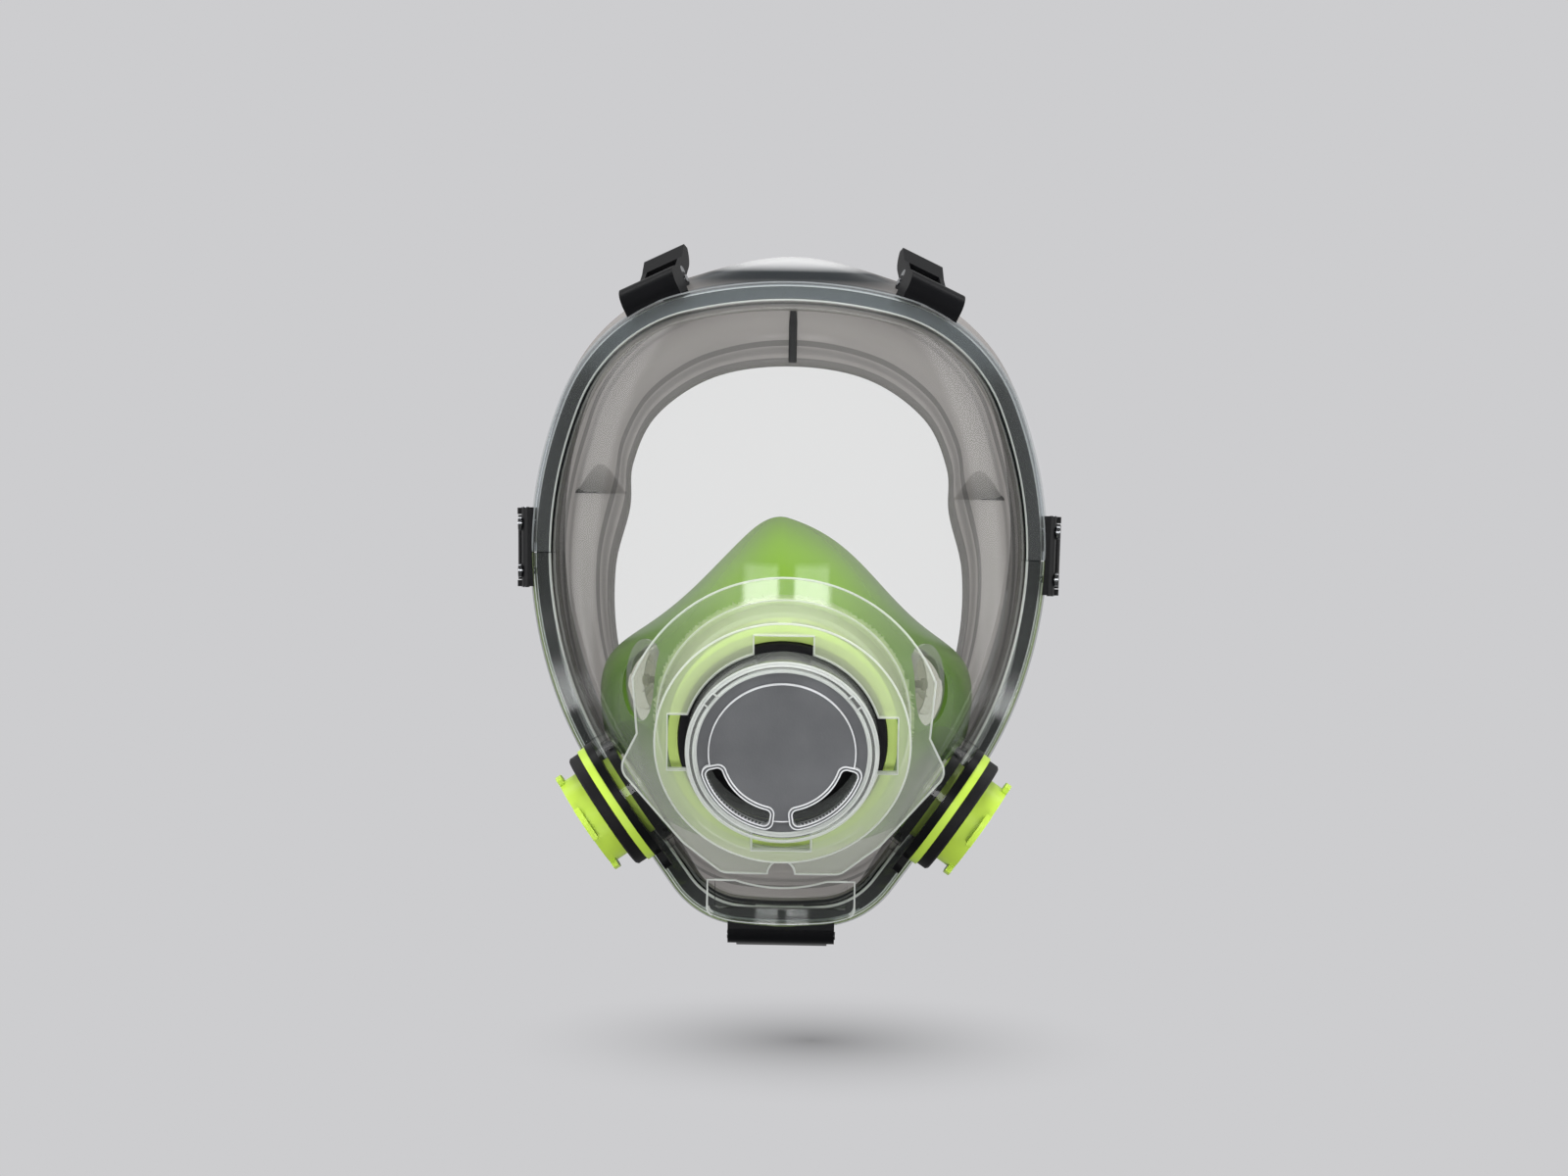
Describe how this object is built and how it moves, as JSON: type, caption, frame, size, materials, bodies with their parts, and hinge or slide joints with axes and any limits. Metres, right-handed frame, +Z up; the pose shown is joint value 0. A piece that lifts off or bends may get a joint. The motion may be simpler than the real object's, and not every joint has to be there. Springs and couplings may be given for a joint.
{
  "type": "full face respirator",
  "caption": "Full-face respirator with a panoramic clear visor, clamped face seal, inner nose cup, front valve port, cheek filter ports and swivelling strap buckles.",
  "frame": {"origin": "centre of the face opening, where the wearer's face meets the seal", "axes": "+Z up to the brow, -Y out of the front of the visor, +X to the wearer's left"},
  "size_m": [0.175, 0.1509, 0.2206],
  "materials": {
    "clear_lens": "clear polished polycarbonate",
    "clear_valve": "clear moulded plastic",
    "frame_black": "fine matt moulded",
    "steel": "satin",
    "seal_silicone": "translucent satin silicone",
    "cup_green": "satin",
    "lime": "satin moulded",
    "black_rubber": "matt",
    "cover_grey": "fine matt moulded",
    "valve_silicone": "satin silicone",
    "film": "thin film"
  },
  "bodies": {
    "facepiece": {"visor": "clear_lens", "front_cover": "clear_lens", "cap_ring": "clear_lens", "check_seat_left": "clear_valve", "check_seat_right": "clear_valve", "frame_upper": "frame_black", "frame_lower": "frame_black", "filter_plate_left": "frame_black", "filter_plate_right": "frame_black", "filter_nut_left": "frame_black", "filter_nut_right": "frame_black", "port_nut": "frame_black", "buckle_hood_top_left": "frame_black", "buckle_hood_top_right": "frame_black", "buckle_hood_side_left": "frame_black", "buckle_hood_side_right": "frame_black", "buckle_hood_chin": "frame_black", "frame_screws": "steel", "buckle_pin_top_left": "steel", "buckle_pin_top_right": "steel", "buckle_pin_side_left": "steel", "buckle_pin_side_right": "steel", "buckle_pin_chin": "steel", "face_seal": "seal_silicone", "nose_cup": "cup_green", "port_housing": "lime", "filter_ring_left": "lime", "filter_ring_right": "lime", "filter_spigot_left": "lime", "filter_spigot_right": "lime", "port_sleeve": "black_rubber", "filter_gasket_left": "black_rubber", "filter_gasket_right": "black_rubber", "valve_cover": "cover_grey", "valve_seat": "cover_grey", "speech_diaphragm": "film"},
    "exhale_flap": {"exhale_valve": "valve_silicone"},
    "check_flap_left": {"check_valve_left": "clear_valve"},
    "inhale_flap_left": {"inhale_valve_left": "valve_silicone"},
    "check_flap_right": {"check_valve_right": "clear_valve"},
    "inhale_flap_right": {"inhale_valve_right": "valve_silicone"},
    "buckle_top_left": {"buckle_body_top_left": "frame_black"},
    "roller_top_left": {"buckle_roller_top_left": "steel"},
    "buckle_top_right": {"buckle_body_top_right": "frame_black"},
    "roller_top_right": {"buckle_roller_top_right": "steel"},
    "buckle_side_left": {"buckle_body_side_left": "frame_black"},
    "roller_side_left": {"buckle_roller_side_left": "steel"},
    "buckle_side_right": {"buckle_body_side_right": "frame_black"},
    "roller_side_right": {"buckle_roller_side_right": "steel"},
    "buckle_chin": {"buckle_body_chin": "frame_black"},
    "roller_chin": {"buckle_roller_chin": "steel"}
  },
  "joints": [
    {"name": "exhale_lift", "type": "slide", "parent": "facepiece", "child": "exhale_flap", "axis": [0, -0.9397, -0.342], "range_m": [0, 0.0016], "stiffness_N_per_m": 30},
    {"name": "check_lift_left", "type": "slide", "parent": "facepiece", "child": "check_flap_left", "axis": [-0.8829, 0.4695, 0], "range_m": [0, 0.0015], "stiffness_N_per_m": 30},
    {"name": "inhale_lift_left", "type": "slide", "parent": "facepiece", "child": "inhale_flap_left", "axis": [-0.8231, 0, 0.5678], "range_m": [0, 0.0016], "stiffness_N_per_m": 30},
    {"name": "check_lift_right", "type": "slide", "parent": "facepiece", "child": "check_flap_right", "axis": [0.8829, 0.4695, 0], "range_m": [0, 0.0015], "stiffness_N_per_m": 30},
    {"name": "inhale_lift_right", "type": "slide", "parent": "facepiece", "child": "inhale_flap_right", "axis": [0.8231, 0, 0.5678], "range_m": [0, 0.0016], "stiffness_N_per_m": 30},
    {"name": "buckle_swing_top_left", "type": "hinge", "parent": "facepiece", "child": "buckle_top_left", "pos_m": [0.04146, -0.02642, 0.09208], "axis": [0.874, 0.2756, -0.4002], "range_deg": [0, 45]},
    {"name": "roller_turn_top_left", "type": "hinge", "parent": "buckle_top_left", "child": "roller_top_left", "pos_m": [0.04069, -0.01834, 0.09598], "axis": [0.874, 0.2756, -0.4002], "continuous": true},
    {"name": "buckle_swing_top_right", "type": "hinge", "parent": "facepiece", "child": "buckle_top_right", "pos_m": [-0.04146, -0.02642, 0.09208], "axis": [0.874, -0.2756, 0.4002], "range_deg": [0, 45]},
    {"name": "roller_turn_top_right", "type": "hinge", "parent": "buckle_top_right", "child": "roller_top_right", "pos_m": [-0.04069, -0.01834, 0.09598], "axis": [0.874, -0.2756, 0.4002], "continuous": true},
    {"name": "buckle_swing_side_left", "type": "hinge", "parent": "facepiece", "child": "buckle_side_left", "pos_m": [0.08388, 0.01211, 0.01162], "axis": [-0.0209, 0, -0.9998], "range_deg": [0, 60]},
    {"name": "roller_turn_side_left", "type": "hinge", "parent": "buckle_side_left", "child": "roller_side_left", "pos_m": [0.08403, 0.02111, 0.01162], "axis": [-0.0209, 0, -0.9998], "continuous": true},
    {"name": "buckle_swing_side_right", "type": "hinge", "parent": "facepiece", "child": "buckle_side_right", "pos_m": [-0.08388, 0.01211, 0.01162], "axis": [-0.0209, 0, 0.9998], "range_deg": [0, 60]},
    {"name": "roller_turn_side_right", "type": "hinge", "parent": "buckle_side_right", "child": "roller_side_right", "pos_m": [-0.08403, 0.02111, 0.01162], "axis": [-0.0209, 0, 0.9998], "continuous": true},
    {"name": "buckle_swing_chin", "type": "hinge", "parent": "facepiece", "child": "buckle_chin", "pos_m": [0, -0.02854, -0.10805], "axis": [-1, 0, 0], "range_deg": [-4, 60]},
    {"name": "roller_turn_chin", "type": "hinge", "parent": "buckle_chin", "child": "roller_chin", "pos_m": [0, -0.01956, -0.10868], "axis": [-1, 0, 0], "continuous": true}
  ]
}
